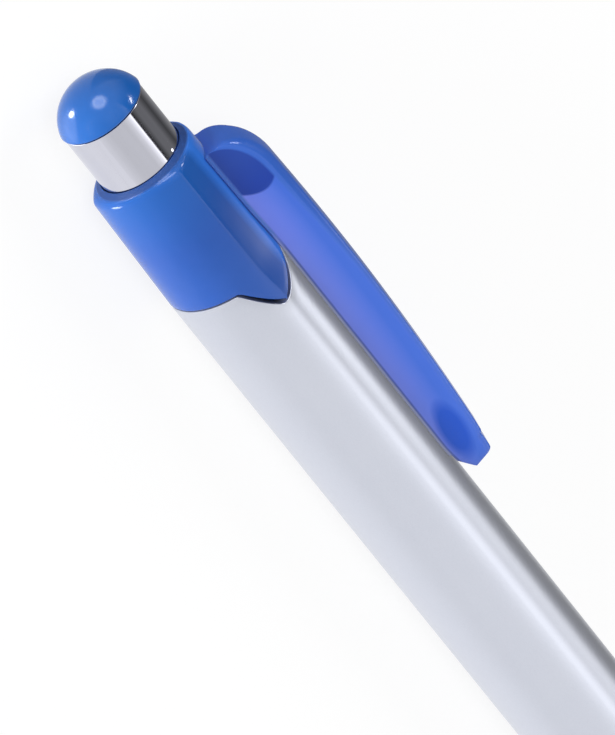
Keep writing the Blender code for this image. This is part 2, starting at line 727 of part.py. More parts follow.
def main():
    for thing in list(bpy.data.objects):
        bpy.data.objects.remove(thing)
    axis = bpy.data.objects.new("pen_axis", None)
    axis.location = (0, 0, axis_height())
    bpy.context.collection.objects.link(axis)
    for make in (
        button_dome, button_sleeve, thrust_cam, rotor_cam, cam_guide, upper_housing, clip, barrel,
        grip_sleeve, nose_cone, return_spring, refill_tube, ink_column, tip_holder, tip_cone,
        writing_ball,
    ):
        make(axis)


main()
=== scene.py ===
import math

import bmesh
import bpy
from mathutils import Matrix, Vector


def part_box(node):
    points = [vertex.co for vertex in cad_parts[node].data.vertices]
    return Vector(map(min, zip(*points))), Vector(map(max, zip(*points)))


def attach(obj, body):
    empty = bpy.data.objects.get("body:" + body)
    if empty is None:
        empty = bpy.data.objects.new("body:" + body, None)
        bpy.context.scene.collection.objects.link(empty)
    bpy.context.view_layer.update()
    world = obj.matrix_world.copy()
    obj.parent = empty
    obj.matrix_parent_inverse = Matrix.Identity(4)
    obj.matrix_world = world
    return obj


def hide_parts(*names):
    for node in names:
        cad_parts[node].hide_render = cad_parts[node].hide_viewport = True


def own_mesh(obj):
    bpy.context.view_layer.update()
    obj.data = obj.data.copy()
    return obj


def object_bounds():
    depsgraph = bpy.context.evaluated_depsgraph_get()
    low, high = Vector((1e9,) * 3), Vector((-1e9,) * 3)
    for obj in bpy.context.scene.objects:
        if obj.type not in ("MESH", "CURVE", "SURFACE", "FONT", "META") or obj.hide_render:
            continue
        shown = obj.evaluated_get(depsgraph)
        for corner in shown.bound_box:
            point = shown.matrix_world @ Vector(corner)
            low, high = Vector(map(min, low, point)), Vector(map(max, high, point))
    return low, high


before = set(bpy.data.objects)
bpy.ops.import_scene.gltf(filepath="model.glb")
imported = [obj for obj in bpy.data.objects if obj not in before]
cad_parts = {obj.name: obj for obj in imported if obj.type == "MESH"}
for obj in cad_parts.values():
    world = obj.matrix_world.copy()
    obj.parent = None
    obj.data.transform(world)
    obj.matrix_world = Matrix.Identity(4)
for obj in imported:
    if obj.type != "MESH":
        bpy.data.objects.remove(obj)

CAD_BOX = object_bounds()
MM = 0.001

# Sizes taken from the frame, in metres; stations along the pen are counted from the housing's rim
SLEEVE_LOW, SLEEVE_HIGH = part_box("button_sleeve")
DOME_LOW, DOME_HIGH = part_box("button_dome")
HOUSING_LOW, HOUSING_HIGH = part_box("upper_housing")
GRIP_LOW, GRIP_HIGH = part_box("grip_sleeve")
NOSE_LOW, NOSE_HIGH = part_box("nose_cone")
BARREL_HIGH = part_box("barrel")[1]
RIM_X = HOUSING_LOW.x
AXIS_Z = (SLEEVE_LOW.z + SLEEVE_HIGH.z) / 2
SLEEVE_RADIUS = (SLEEVE_HIGH.y - SLEEVE_LOW.y) / 2
SLEEVE_TOP = SLEEVE_LOW.x - RIM_X
SLEEVE_END = SLEEVE_HIGH.x - RIM_X
DOME_TOP = DOME_LOW.x - RIM_X
DOME_PLUG_END = DOME_HIGH.x - RIM_X
DOME_RADIUS = (DOME_HIGH.y - DOME_LOW.y) / 2
SPIGOT_END = HOUSING_HIGH.x - RIM_X
GRIP_START = GRIP_LOW.x - RIM_X
GRIP_END = GRIP_HIGH.x - RIM_X
NOSE_START = NOSE_LOW.x - RIM_X
NOSE_END = NOSE_HIGH.x - RIM_X
NECK_END = BARREL_HIGH.x - RIM_X
GRIP_FRONT = (NOSE_HIGH.y - NOSE_LOW.y) / 2

# Gaps and walls of the model
SEAM = 0.10 * MM
SLIDE_GAP = 0.11 * MM
SEAT_GAP = 0.15 * MM
HOUSING_BORE = SLEEVE_RADIUS + SLIDE_GAP
FACE_DISTANCE = HOUSING_BORE + 0.94 * MM
TOP_FACE = HOUSING_BORE + 0.68 * MM
RIDGE_RISE = 0.53 * MM
RIDGE_RADIUS = 1.8 * MM
BARREL_BORE = FACE_DISTANCE - 0.9 * MM
SLEEVE_BORE = SLEEVE_RADIUS - 0.35 * MM
SPIGOT_BORE = 2.65 * MM
NECK_RADIUS = 3.1 * MM
NECK_BORE = 2.2 * MM
GRIP_BORE = 3.25 * MM
BARREL_END = GRIP_START - SEAM

# Housing edge
BORE_END = 9.2 * MM
ARCH_TOP = 10.0 * MM
EDGE = 11.85 * MM
EDGE_BLEND = 0.3 * MM
LOBE_DROP = 2.9 * MM
LOBE_ANGLE = math.radians(62)
LOBE_SPREAD = math.radians(32)
LOBE_ROUNDING = math.radians(8)
ARCH_FULLNESS = 1.65
RIM_WIDTH = 0.5 * MM
RIM_FALL = 0.38 * MM
SHOULDER_LENGTH = 1.1 * MM

# Clip
CLIP_ANGLE = math.radians(30)
CLIP_START = 2.2 * MM
CLIP_LENGTH = 36.1 * MM
CLIP_END = CLIP_START + CLIP_LENGTH
CLIP_HEIGHT = 3.75 * MM
CLIP_CROWN = 16.0 * MM
CLIP_END_HEIGHT = 2.83 * MM
CLIP_SHOULDER = 4.4 * MM
CLIP_ROOT_HEIGHT = 0.6 * MM
CLIP_ROOT_WIDTH = 3.6 * MM
CLIP_END_WIDTH = 3.2 * MM
CLIP_SIDE = 0.6 * MM
CLIP_PILLAR = 5.3 * MM
CLIP_ROOT_BAND = 1.9 * MM
CLIP_BAND = 0.8 * MM
CLIP_BAND_RUN = 9.6 * MM
CLIP_BUMP = 7.0 * MM
CLIP_OVER_BARREL = 0.03 * MM
CLIP_SEATED_TO = ARCH_TOP - 2 * MM
CLIP_FREE_FROM = EDGE + 1 * MM
CLIP_REACH_FADE = 3.5 * MM
CLIP_ROOT_EDGE = 1.0 * MM
CLIP_EDGE = 0.5 * MM
CLIP_EDGE_EASE = (6 * MM, 20 * MM)
CLIP_EDGE_SHARE = 0.4
CLIP_SOLE_GAP = -0.02 * MM
CLIP_FLARE = 0.28 * MM
CLIP_OUT = Vector((math.cos(CLIP_ANGLE), math.sin(CLIP_ANGLE)))

# Cheeks of the housing beside the clip
CHEEK_ANGLE = math.radians(39.3)
CHEEK_DEPTH = 0.29 * MM
CHEEK_CROWN = 0.35
CHEEK_FADE_START = 11.0 * MM
CHEEK_FADE_END = 15.2 * MM

# Photograph
IMAGE_WIDTH = 615
IMAGE_HEIGHT = 735
RIM_PIXEL = (139.2, 158.4)
PIXELS_PER_METRE = 13400.0
AXIS_SLOPE = math.radians(51.27)
TILT = math.radians(30.3)
VIEW_TURN = math.radians(115)
CAMERA_DISTANCE = 0.68
SENSOR = 36.0

# Fineness of the surfaces
FACE_STEPS = 44
RIDGE_STEPS = 20
FILLET_STEPS = 5
TURN_STEPS = 128
MERGE_DISTANCE = 1e-8
SHARP_ANGLE = math.radians(50)
CLIP_SHARP_ANGLE = math.radians(40)

# Textures shared by the mouldings, as noise scales per metre
PLASTIC_IOR = 1.46
DRIFT_SCALE = 420.0
SCUFF_SCALE = 2600.0
RIPPLE_SCALE = 900.0
RIPPLE_DEPTH = 0.05 * MM


def face_arc(face, ridge_radius):
    """Offset behind the axis, radius and half angle of the arc of one of the three faces."""
    ridge_centre = face + RIDGE_RISE - ridge_radius
    inset = face - ridge_radius
    offset = (ridge_centre**2 - inset**2) / (2 * inset - ridge_centre)
    across = ridge_centre * math.sin(math.radians(60))
    half = math.atan2(across, offset + ridge_centre * math.cos(math.radians(60)))
    return offset, face + offset, half


def soft_triangle(face, ridge_radius=RIDGE_RADIUS):
    """Outline of the three-sided section, with one face towards the clip."""
    offset, radius, half = face_arc(face, ridge_radius)
    ridge = face + RIDGE_RISE - ridge_radius
    points = []
    for side in range(3):
        normal = CLIP_ANGLE + side * math.radians(120)
        centre = Vector((math.cos(normal), math.sin(normal))) * -offset
        for step in range(FACE_STEPS + 1):
            angle = normal - half + 2 * half * step / FACE_STEPS
            points.append(centre + Vector((math.cos(angle), math.sin(angle))) * radius)
        towards = normal + math.radians(60)
        centre = Vector((math.cos(towards), math.sin(towards))) * ridge
        turn = math.radians(120) - 2 * half
        for step in range(1, RIDGE_STEPS):
            angle = normal + half + turn * step / RIDGE_STEPS
            points.append(centre + Vector((math.cos(angle), math.sin(angle))) * ridge_radius)
    return points


SECTION = soft_triangle(FACE_DISTANCE)
SECTION_ANGLES = [math.atan2(p.y, p.x) for p in SECTION]


def round_over(angle):
    """Absolute angle with its corner at zero rounded."""
    return math.hypot(angle, LOBE_ROUNDING) - LOBE_ROUNDING


def soft_max(a, b, width):
    """Larger of two values, with the corner between them rounded."""
    mixed = max(width - abs(a - b), 0) / width
    return max(a, b) + mixed * mixed * width / 4


def smooth(value, low, high):
    """Eased share of the way from low to high."""
    share = min(max((value - low) / (high - low), 0), 1)
    return share * share * (3 - 2 * share)


def edge_station(angle):
    """Station of the housing's lower edge: level, with two lobes and an arch under the clip."""
    turned_by = abs(math.remainder(angle - CLIP_ANGLE, math.tau))
    tip = EDGE + LOBE_DROP
    if turned_by > LOBE_ANGLE:
        fall = LOBE_DROP * round_over(turned_by - LOBE_ANGLE) / round_over(LOBE_SPREAD)
        return soft_max(tip - fall, EDGE, EDGE_BLEND)
    rise = 1 - (1 - turned_by / LOBE_ANGLE) ** ARCH_FULLNESS
    return ARCH_TOP + (tip - ARCH_TOP) * rise


def at(station, y, z):
    """Point of the scene at a station, with y and z counted from the axis."""
    return Vector((RIM_X + station, y, AXIS_Z + z))


def place(station):
    """The station as a function of the angle round the axis."""
    return station if callable(station) else lambda angle: station


def circle(station, radius):
    """Ring round the axis at the section's angles; the station may be a function of the angle."""
    where = place(station)
    return [at(where(a), radius * math.cos(a), radius * math.sin(a)) for a in SECTION_ANGLES]


def triangle_ring(station, face, ridge_radius=RIDGE_RADIUS):
    """Ring of the soft triangle; the station may be a function of the angle."""
    where = place(station)
    points = soft_triangle(face, ridge_radius)
    return [at(where(a), p.x, p.y) for a, p in zip(SECTION_ANGLES, points)]


def blend_rings(first, second, share):
    """Ring part of the way from one ring to another."""
    return [a.lerp(b, share) for a, b in zip(first, second)]


def quarter(steps, first=0):
    """Sine and one minus cosine of a quarter turn in equal steps, for fillets."""
    angles = [math.pi / 2 * step / steps for step in range(first, steps + 1)]
    return [(math.sin(a), 1 - math.cos(a)) for a in angles]


def make_piece(name, bm, material, body, slot, *nodes):
    """Closes a bmesh into a smooth piece that rides on a body and stands for CAD nodes."""
    bmesh.ops.remove_doubles(bm, verts=bm.verts, dist=MERGE_DISTANCE)
    bmesh.ops.recalc_face_normals(bm, faces=bm.faces)
    mesh = bpy.data.meshes.new(name)
    bm.to_mesh(mesh)
    bm.free()
    mesh.shade_smooth()
    mesh.set_sharp_from_angle(angle=SHARP_ANGLE)
    mesh.materials.append(material)
    piece = bpy.data.objects.new(name, mesh)
    bpy.context.scene.collection.objects.link(piece)
    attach(piece, body)
    if nodes:
        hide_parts(*nodes)
    return piece


def skin(rings, is_tube):
    """Quads between rings of equal count, joined end to start as a tube wall, or capped."""
    bm = bmesh.new()
    loops = [[bm.verts.new(p) for p in ring] for ring in rings]
    pairs = list(zip(loops, loops[1:]))
    if is_tube:
        pairs.append((loops[-1], loops[0]))
    else:
        bm.faces.new(loops[0])
        bm.faces.new(loops[-1])
    for first, second in pairs:
        for index in range(len(first)):
            following = (index + 1) % len(first)
            bm.faces.new((first[index], first[following], second[following], second[index]))
    return bm


def turned(profile, is_tube):
    """Profile of (station, radius) points spun round the axis; on the axis a ring is a point."""
    turns = [math.tau * step / TURN_STEPS for step in range(TURN_STEPS)]
    rings = [
        [at(station, radius * math.sin(turn), radius * math.cos(turn)) for turn in turns]
        for station, radius in profile
    ]
    return skin(rings, is_tube)


# Materials
def new_material(name):
    """New material with its node tree and its main shader."""
    material = bpy.data.materials.new(name)
    material.use_nodes = True
    shader = material.node_tree.nodes["Principled BSDF"]
    return material, material.node_tree, shader


def object_coordinates(tree):
    """Coordinates in the object's own frame."""
    return tree.nodes.new("ShaderNodeTexCoord").outputs["Object"]


def noise(tree, scale, detail=3.0, stretch=None):
    """Noise in the object's own coordinates, optionally stretched along an axis."""
    texture = tree.nodes.new("ShaderNodeTexNoise")
    texture.inputs["Scale"].default_value = scale
    texture.inputs["Detail"].default_value = detail
    source = object_coordinates(tree)
    if stretch:
        mapping = tree.nodes.new("ShaderNodeMapping")
        mapping.inputs["Scale"].default_value = stretch
        tree.links.new(source, mapping.inputs["Vector"])
        source = mapping.outputs["Vector"]
    tree.links.new(source, texture.inputs["Vector"])
    return texture.outputs["Fac"]


def spread(tree, source, low, high, from_low=0.3, from_high=0.7):
    """Maps a texture's values to a range."""
    ranged = tree.nodes.new("ShaderNodeMapRange")
    for name, value in (
        ("From Min", from_low), ("From Max", from_high), ("To Min", low), ("To Max", high),
    ):
        ranged.inputs[name].default_value = value
    tree.links.new(source, ranged.inputs["Value"])
    return ranged.outputs["Result"]


def mix_colours(tree, factor, first, second):
    """Colour between two colours or sockets by a factor socket."""
    mix = tree.nodes.new("ShaderNodeMix")
    mix.data_type = "RGBA"
    tree.links.new(factor, mix.inputs["Factor"])
    for socket, value in ((mix.inputs[6], first), (mix.inputs[7], second)):
        if isinstance(value, tuple):
            socket.default_value = (*value, 1)
        else:
            tree.links.new(value, socket)
    return mix.outputs[2]


def calculate(tree, operation, first, second):
    """One arithmetic step on sockets or numbers."""
    node = tree.nodes.new("ShaderNodeMath")
    node.operation = operation
    for socket, value in zip(node.inputs, (first, second)):
        if isinstance(value, (int, float)):
            socket.default_value = value
        else:
            tree.links.new(value, socket)
    return node.outputs[0]


def pen_position(tree):
    """Station from the rim, y, and height over the axis of the point being shaded."""
    position = tree.nodes.new("ShaderNodeSeparateXYZ")
    tree.links.new(object_coordinates(tree), position.inputs["Vector"])
    station = calculate(tree, "SUBTRACT", position.outputs["X"], RIM_X)
    height = calculate(tree, "SUBTRACT", position.outputs["Z"], AXIS_Z)
    return station, position.outputs["Y"], height


def attribute(tree, name):
    """Value that the mesh carries at its vertices."""
    node = tree.nodes.new("ShaderNodeAttribute")
    node.attribute_name = name
    return node.outputs["Fac"]


def bump(tree, shader, height, strength, distance):
    """Roughens the surface by a height texture."""
    node = tree.nodes.new("ShaderNodeBump")
    node.inputs["Strength"].default_value = strength
    node.inputs["Distance"].default_value = distance
    tree.links.new(height, node.inputs["Height"])
    tree.links.new(node.outputs["Normal"], shader.inputs["Normal"])


def moulded_plastic(name, deep, light, roughness):
    """Glossy moulding: colour drifts a little, with faint scuffs and moulding ripple."""
    material, tree, shader = new_material(name)
    drift = spread(tree, noise(tree, DRIFT_SCALE), 0, 1)
    tree.links.new(mix_colours(tree, drift, deep, light), shader.inputs["Base Color"])
    scuff = noise(tree, SCUFF_SCALE, 4.0)
    tree.links.new(spread(tree, scuff, roughness, roughness + 0.06), shader.inputs["Roughness"])
    shader.inputs["IOR"].default_value = PLASTIC_IOR
    bump(tree, shader, noise(tree, RIPPLE_SCALE, 2.0), 0.02, RIPPLE_DEPTH)
    return material


def housing_plastic():
    """Blue moulding with painted light paler round its thin mouth, where light shines through, and
    beside the clip, lifting the clip's shade; painted shade deep in the chamfer.
    """
    body_deep, body_light = (0.010, 0.084, 0.410), (0.014, 0.091, 0.435)
    # Painted light: the thin mouth paler, where light shines through the plastic
    thin_mouth_glow_blue = (0.008, 0.114, 0.480)
    # Painted light beside the clip, lifting the shade that the clip casts on the housing
    clip_side_light_blue = (0.030, 0.190, 0.760)
    # Painted shade deep in the mouth's chamfer
    chamfer_shade_blue = (0.004, 0.050, 0.235)
    thin_from, thin_to = 1.5 * MM, 6.5 * MM
    beside_from, beside_to = 2.3 * MM, 3.0 * MM
    rim = HOUSING_BORE + RIM_WIDTH
    material, tree, shader = new_material("housing_blue")
    station, y, height = pen_position(tree)
    drift = spread(tree, noise(tree, DRIFT_SCALE), 0, 1)
    body = mix_colours(tree, drift, body_deep, body_light)
    # painted light round the thin mouth, fading down the housing
    thin_mouth_glow = spread(tree, station, 0.85, 0, thin_from, thin_to)
    body = mix_colours(tree, thin_mouth_glow, body, thin_mouth_glow_blue)

    out = calculate(
        tree, "ADD", calculate(tree, "MULTIPLY", y, CLIP_OUT.x),
        calculate(tree, "MULTIPLY", height, CLIP_OUT.y),
    )
    across = calculate(
        tree, "SUBTRACT", calculate(tree, "MULTIPLY", height, CLIP_OUT.x),
        calculate(tree, "MULTIPLY", y, CLIP_OUT.y),
    )
    aside = calculate(tree, "ABSOLUTE", across, 0)
    # painted light in a strip beside the clip's foot, where the clip's shade falls
    clip_side_light = spread(tree, aside, 1, 0, beside_from, beside_to)
    clip_side_light = calculate(tree, "MULTIPLY", clip_side_light, spread(tree, out, 0, 1, 2 * MM, 3 * MM))
    body = mix_colours(tree, clip_side_light, body, clip_side_light_blue)
    squares = [calculate(tree, "POWER", source, 2.0) for source in (y, height)]
    radius = calculate(tree, "SQRT", calculate(tree, "ADD", *squares), 0)
    # painted shade in the mouth's chamfer; the chamfer is made rougher too
    chamfer = spread(tree, radius, 1, 0, rim - 0.12 * MM, rim + 0.02 * MM)
    body = mix_colours(tree, chamfer, body, chamfer_shade_blue)
    tree.links.new(body, shader.inputs["Base Color"])
    grain = spread(tree, noise(tree, SCUFF_SCALE, 4.0), 0.14, 0.20)
    matt = calculate(tree, "MULTIPLY", chamfer, 0.35)
    tree.links.new(calculate(tree, "ADD", grain, matt), shader.inputs["Roughness"])
    shader.inputs["IOR"].default_value = PLASTIC_IOR
    bump(tree, shader, noise(tree, RIPPLE_SCALE, 2.0), 0.02, RIPPLE_DEPTH)
    return material


def bright_metal(name, colour, roughness, brushed=None, shade=0.93):
    """Plated metal with fine wipe marks."""
    material, tree, shader = new_material(name)
    marks = noise(tree, 2400.0, 5.0, brushed or (0.12, 1.0, 1.0))
    shaded = tuple(value * shade for value in colour)
    plating = mix_colours(tree, spread(tree, marks, 0, 1), colour, shaded)
    tree.links.new(plating, shader.inputs["Base Color"])
    tree.links.new(spread(tree, marks, roughness, roughness + 0.05), shader.inputs["Roughness"])
    shader.inputs["Metallic"].default_value = 1.0
    bump(tree, shader, marks, 0.02, 0.01 * MM)
    return material


def silver_paint():
    """Satin silver lacquer: fine flakes in a slightly blue grey, with soft orange peel."""
    material, tree, shader = new_material("barrel_silver")
    flakes = spread(tree, noise(tree, 16000.0, 2.0), 0, 1, 0.35, 0.65)
    cloud = spread(tree, noise(tree, 260.0), 0, 1)
    base = mix_colours(tree, cloud, (0.528, 0.549, 0.626), (0.546, 0.567, 0.638))
    mottle = spread(tree, noise(tree, 5200.0, 2.0), 0, 0.22)
    base = mix_colours(tree, mottle, base, (0.460, 0.482, 0.556))
    fleck = mix_colours(tree, flakes, base, (0.552, 0.573, 0.644))
    tree.links.new(fleck, shader.inputs["Base Color"])
    tree.links.new(spread(tree, flakes, 0.285, 0.320, 0, 1), shader.inputs["Roughness"])
    shader.inputs["Metallic"].default_value = 0.68
    shader.inputs["Coat Weight"].default_value = 0.25
    shader.inputs["Coat Roughness"].default_value = 0.18
    bump(tree, shader, noise(tree, 3500.0, 2.0), 0.28, 0.02 * MM)
    return material


def clip_plastic():
    """Translucent blue moulding with painted light: pale where it is a thin wall that light comes
    through, deep where it is solid; painted shade along its free lower edge and painted light
    along its seated foot.
    """
    # Painted light through the translucent plastic: the thin skirt and walls paler, the back,
    # pillar and bump deeper, as less light comes through thick plastic
    lit_thin_skirt = (0.215, 0.290, 0.980)
    wall = (0.056, 0.164, 0.740)
    root_back = (0.044, 0.154, 0.660)
    end_back = (0.068, 0.200, 0.850)
    solid = (0.004, 0.046, 0.385)
    solid_root = (0.016, 0.066, 0.400)
    bump_blue = (0.010, 0.096, 0.650)
    # Painted shade for the free lower edge: deep at the sole, grey at the very edge
    sole = (0.075, 0.122, 0.460)
    rim = (0.340, 0.370, 0.560)
    # Painted light along the seated foot, lifting its contact shade
    foot = (0.075, 0.190, 0.640)
    # Depths below the back and heights over the sole are in millimetres, as the mesh has them
    pillar_middle, bump_middle, bump_depth = 2.0, 1.75, 1.05
    bump_from_end, bump_length = 4.0 * MM, 2.9 * MM
    pillar_end = CLIP_START + CLIP_PILLAR
    root_band, end_band = 0.66, 0.28
    material, tree, shader = new_material("clip_blue")
    station = pen_position(tree)[0]
    depth = attribute(tree, "below_back")
    low = attribute(tree, "over_sole")

    def bulge(first, second, amount):
        past = calculate(tree, "MAXIMUM", calculate(tree, "SUBTRACT", first, second), 0)
        return calculate(tree, "MULTIPLY", calculate(tree, "POWER", past, 2), amount)

    back = spread(tree, station, 0, 1, 8 * MM, 30 * MM)
    back = mix_colours(tree, back, root_back, end_back)
    # painted light: paler further down the thin wall
    side = mix_colours(tree, spread(tree, depth, 0, 1, 1.1, 3.6), wall, lit_thin_skirt)
    cloud = spread(tree, noise(tree, 300.0), 0, 0.12)
    side = mix_colours(tree, cloud, side, back)
    above = bulge(pillar_middle, depth, 0.4 * MM)
    under = bulge(depth, pillar_middle, 0.27 * MM)
    bulged = calculate(tree, "ADD", station, calculate(tree, "ADD", above, under))
    # painted: the solid pillar at the root deep, as little light comes through it
    pillar = spread(tree, bulged, 1, 0, pillar_end - 0.05 * MM, pillar_end + 0.15 * MM)
    core = mix_colours(tree, spread(tree, station, 0, 1, 4 * MM, 7 * MM), solid_root, solid)
    side = mix_colours(tree, pillar, side, core)
    along = calculate(tree, "SUBTRACT", station, CLIP_END - bump_from_end)
    along = calculate(tree, "DIVIDE", along, bump_length)
    across = calculate(tree, "SUBTRACT", depth, bump_middle)
    across = calculate(tree, "DIVIDE", across, bump_depth)
    squares = [calculate(tree, "POWER", source, 2.0) for source in (along, across)]
    reach = calculate(tree, "ADD", *squares)
    # painted: the solid bump near the end deep
    side = mix_colours(tree, spread(tree, reach, 1, 0, 0.45, 1.3), side, bump_blue)
    band = spread(tree, station, root_band, 0, 6 * MM, 20 * MM)
    band = calculate(tree, "ADD", end_band, band)
    # painted: the thick back band deeper than the thin wall
    over = spread(tree, calculate(tree, "SUBTRACT", band, depth), 0, 1, -0.10, 0.10)
    side = mix_colours(tree, over, side, back)
    free = spread(tree, station, 0, 1, EDGE - 1 * MM, EDGE + 1 * MM)
    # painted shade along the free lower edge, past the seated part
    edge = calculate(tree, "MULTIPLY", spread(tree, low, 1, 0, 0.28, 0.40), free)
    seated = calculate(tree, "SUBTRACT", 1.0, free)
    # painted light along the seated foot
    lit_foot = calculate(tree, "MULTIPLY", spread(tree, low, 1, 0, 0.20, 0.40), seated)
    side = mix_colours(tree, lit_foot, side, foot)
    lower_edge_shade = mix_colours(tree, spread(tree, low, 1, 0, 0.14, 0.24), sole, rim)
    tree.links.new(mix_colours(tree, edge, side, lower_edge_shade), shader.inputs["Base Color"])

    scuff = noise(tree, SCUFF_SCALE, 4.0)
    tree.links.new(spread(tree, scuff, 0.16, 0.22), shader.inputs["Roughness"])
    shader.inputs["IOR"].default_value = PLASTIC_IOR
    shader.inputs["Specular IOR Level"].default_value = 0.32
    shader.inputs["Transmission Weight"].default_value = 0.08
    bump(tree, shader, noise(tree, 700.0, 2.0), 0.03, RIPPLE_DEPTH)
    return material


def rubber():
    """Soft matt rubber with a fine grain."""
    deep, light = (0.022, 0.070, 0.300), (0.032, 0.090, 0.350)
    material, tree, shader = new_material("grip_rubber")
    grain = noise(tree, 9000.0, 4.0)
    dust = spread(tree, noise(tree, 500.0), 0, 1)
    tree.links.new(mix_colours(tree, dust, deep, light), shader.inputs["Base Color"])
    tree.links.new(spread(tree, grain, 0.55, 0.72), shader.inputs["Roughness"])
    bump(tree, shader, grain, 0.25, 0.03 * MM)
    return material


# Pieces
def add_dome(material):
    """Cap of the button: part of an ellipse on a short plug in the sleeve."""
    base = SLEEVE_TOP - SEAM
    plug = SLEEVE_BORE - SEAT_GAP
    fillet = 0.12 * MM
    sink = 0.7 * MM
    dome_steps = 32
    tall = base + sink - DOME_TOP
    first = math.asin((sink + fillet) / tall)
    wide = DOME_RADIUS / math.cos(first)
    profile = [(DOME_PLUG_END, 0), (DOME_PLUG_END, plug), (base, plug)]
    for along, away in quarter(FILLET_STEPS)[:-1]:
        profile.append((base - fillet * away, DOME_RADIUS - fillet + fillet * along))
    for step in range(dome_steps + 1):
        angle = first + (math.pi / 2 - first) * step / dome_steps
        profile.append((base + sink - tall * math.sin(angle), wide * math.cos(angle)))
    cap = turned(profile, False)
    make_piece("dome_cap", cap, material, "button", "dome_blue", "button_dome")


def add_sleeve(material):
    """Tube of the button with a rounded outer edge."""
    edge = 0.06 * MM
    profile = [(SLEEVE_END, SLEEVE_BORE), (SLEEVE_TOP, SLEEVE_BORE)]
    for along, away in quarter(FILLET_STEPS):
        profile.append((SLEEVE_TOP + edge * away, SLEEVE_RADIUS - edge + edge * along))
    profile.append((SLEEVE_END, SLEEVE_RADIUS))
    tube = turned(profile, True)
    make_piece("sleeve_tube", tube, material, "button", "sleeve_chrome", "button_sleeve")


def cheeked(ring, face, ridge_radius):
    """Ring of the housing with its ridges beside the clip cut down to nearly flat cheeks."""
    outline = soft_triangle(face, ridge_radius)
    cut = []
    for point in ring:
        spot = Vector((point.y, point.z - AXIS_Z))
        for turn in (CHEEK_ANGLE, -CHEEK_ANGLE):
            normal = Vector((math.cos(CLIP_ANGLE + turn), math.sin(CLIP_ANGLE + turn)))
            top = max(normal.dot(corner) for corner in outline)
            fade = 1 - smooth(point.x - RIM_X, CHEEK_FADE_START, CHEEK_FADE_END)
            over = normal.dot(spot) - (top - CHEEK_DEPTH * fade)
            if over > 0:
                spot -= normal * over * (1 - CHEEK_CROWN)
        cut.append(Vector((point.x, spot.x, AXIS_Z + spot.y)))
    return cut


def add_housing(material):
    """Housing from its rim down the shoulder and skirt to the lobed edge, and back up the bore."""
    ridge_radius = 0.6 * MM
    shoulder_steps = 10
    skirt_steps = 24
    fillet = 0.12 * MM
    lip = 0.05 * MM
    mouth = SLEEVE_RADIUS + 0.05 * MM
    mouth_end, bore_start = 0.4 * MM, 0.6 * MM

    def wall(station, face):
        return cheeked(triangle_ring(station, face, ridge_radius), face, ridge_radius)

    def part_way(share):
        def station(angle):
            return SHOULDER_LENGTH + (edge_station(angle) - fillet - SHOULDER_LENGTH) * share
        return station

    shoulder = wall(SHOULDER_LENGTH, TOP_FACE)
    rim = circle(RIM_FALL, HOUSING_BORE + RIM_WIDTH)
    rings = [rim]
    for along, away in quarter(shoulder_steps, 1)[:-1]:
        ring = blend_rings(rim, shoulder, along)
        x = RIM_X + RIM_FALL + (SHOULDER_LENGTH - RIM_FALL) * away
        rings.append([Vector((x, p.y, p.z)) for p in ring])
    for step in range(skirt_steps + 1):
        share = step / skirt_steps
        rings.append(wall(part_way(share), TOP_FACE + (FACE_DISTANCE - TOP_FACE) * share))
    for along, away in quarter(FILLET_STEPS, 1):
        def turning_in(angle):
            return edge_station(angle) - fillet + fillet * along
        rings.append(wall(turning_in, FACE_DISTANCE - fillet * away))
    spigot = BARREL_BORE - SEAT_GAP
    for station, radius in (
        (edge_station, spigot), (SPIGOT_END, spigot), (SPIGOT_END, SPIGOT_BORE),
        (BORE_END, SPIGOT_BORE), (BORE_END, HOUSING_BORE), (bore_start, HOUSING_BORE),
        (mouth_end, mouth), (lip, mouth), (0, mouth + lip),
    ):
        rings.append(circle(station, radius))
    shell = skin(rings, True)
    make_piece("housing_shell", shell, material, "body", "housing_blue", "upper_housing")


def add_barrel(material):
    """Tube from the housing's edge to the grip, with the neck that the grip and nose sit on."""
    fillet = 0.10 * MM
    step_wall = 1.2 * MM
    lower_bore = BARREL_BORE - 0.4 * MM
    lower_bore_start = 35.7 * MM

    def from_edge(extra):
        return lambda angle: edge_station(angle) + SEAM + extra

    def part_way(share):
        return lambda angle: edge_station(angle) + (BARREL_END - edge_station(angle)) * share

    rings = [circle(from_edge(0), BARREL_BORE)]
    for along, away in reversed(quarter(FILLET_STEPS)):
        start = from_edge(fillet - fillet * along)
        rings.append(triangle_ring(start, FACE_DISTANCE - fillet * away))
    for share in (0.02, 0.05, 0.1, 0.2, 0.3, 0.4, 0.5, 0.6, 0.7, 0.8, 0.9):
        rings.append(triangle_ring(part_way(share), FACE_DISTANCE))
    for along, away in quarter(FILLET_STEPS):
        end = BARREL_END - fillet + fillet * along
        rings.append(triangle_ring(end, FACE_DISTANCE - fillet * away))
    for station, radius in (
        (BARREL_END, NECK_RADIUS), (NECK_END, NECK_RADIUS), (NECK_END, NECK_BORE),
        (BARREL_END - step_wall, NECK_BORE), (BARREL_END - step_wall, lower_bore),
        (lower_bore_start, lower_bore), (lower_bore_start, BARREL_BORE),
    ):
        rings.append(circle(station, radius))
    make_piece("barrel_tube", skin(rings, True), material, "body", "barrel_silver", "barrel")


def housing_face(station):
    """Distance of the housing's faces from the axis."""
    share = min(max((station - SHOULDER_LENGTH) / (EDGE - SHOULDER_LENGTH), 0), 1)
    return TOP_FACE + (FACE_DISTANCE - TOP_FACE) * share


def clip_arch(station):
    """Height of the clip's long shallow arch over the barrel face."""
    run = station - CLIP_CROWN
    reach = CLIP_END - CLIP_CROWN
    return CLIP_HEIGHT - (CLIP_HEIGHT - CLIP_END_HEIGHT) * (run / reach) ** 2


